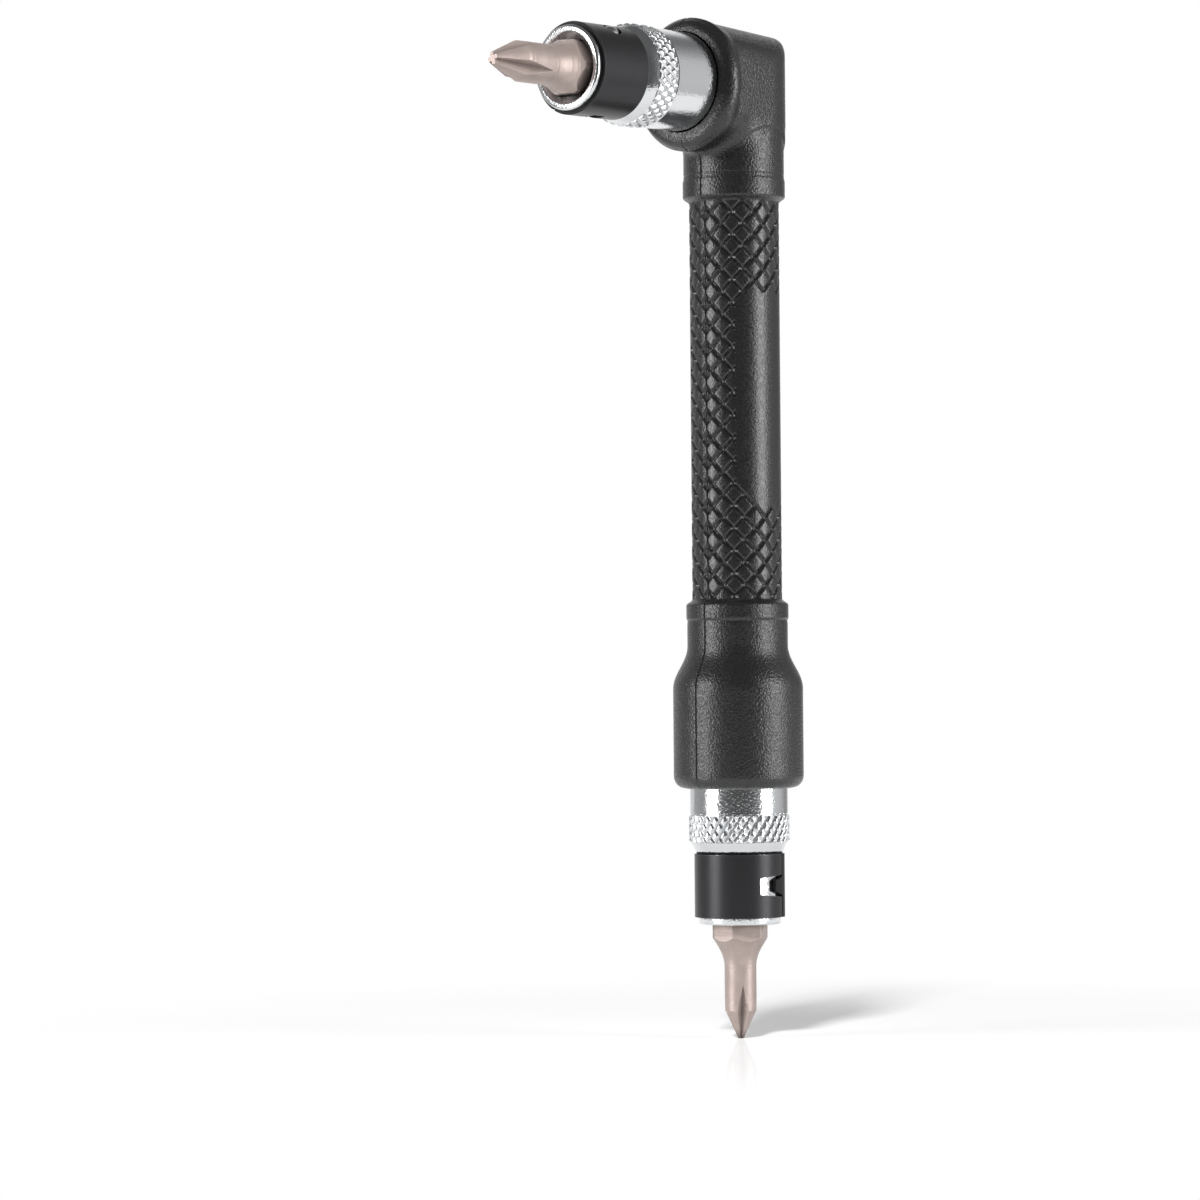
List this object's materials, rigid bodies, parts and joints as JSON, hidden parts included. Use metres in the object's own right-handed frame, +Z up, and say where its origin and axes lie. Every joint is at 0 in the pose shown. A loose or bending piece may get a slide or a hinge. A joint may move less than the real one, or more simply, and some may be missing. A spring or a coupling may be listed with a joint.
{
  "type": "offset screwdriver",
  "caption": "L-shaped offset screwdriver: textured two-shell grip on a steel core, with a hexagon bit holder at each end and a cross-point bit in each.",
  "frame": {"origin": "tip of the tail bit, on the handle's axis", "axes": "+Z up the handle from the tail bit to the head; -X the way the head's bit points; Y square to the plane of the L"},
  "size_m": [0.0509, 0.016, 0.1242],
  "materials": {
    "grip_plastic": "moulded, fine leather grain and raised scales",
    "core_steel": "turned",
    "pin_steel": "rolled",
    "chrome_plate": "polished",
    "black_spring_steel": "blackened, satin",
    "ball_steel": "polished",
    "bit_steel": "satin, warm grey"
  },
  "bodies": {
    "root": {"right_grip_shell": "grip_plastic", "left_grip_shell": "grip_plastic", "core_rod": "core_steel", "elbow_block": "core_steel", "rod_pin": "pin_steel", "head_socket": "chrome_plate", "head_socket_pin": "pin_steel", "tail_socket": "chrome_plate", "tail_socket_pin": "pin_steel", "head_spring_band": "black_spring_steel", "tail_spring_band": "black_spring_steel"},
    "head_ball": {"head_detent_ball": "ball_steel"},
    "tail_ball": {"tail_detent_ball": "ball_steel"},
    "head_bit": {"head_bit": "bit_steel"},
    "tail_bit": {"tail_bit": "bit_steel"}
  },
  "joints": [
    {"name": "head_bit_pull", "type": "slide", "parent": "root", "child": "head_bit", "axis": [-1, 0, 0], "range_m": [0, 0.015]},
    {"name": "tail_bit_pull", "type": "slide", "parent": "root", "child": "tail_bit", "axis": [0, 0, -1], "range_m": [0, 0.015]},
    {"name": "head_ball_lift", "type": "slide", "parent": "root", "child": "head_ball", "axis": [0, -0.5, 0.866], "range_m": [0, 0.0003], "stiffness_N_per_m": 2000, "deforming": ["head_spring_band"]},
    {"name": "tail_ball_lift", "type": "slide", "parent": "root", "child": "tail_ball", "axis": [0, 1, 0], "range_m": [0, 0.0003], "stiffness_N_per_m": 2000, "deforming": ["tail_spring_band"]}
  ]
}
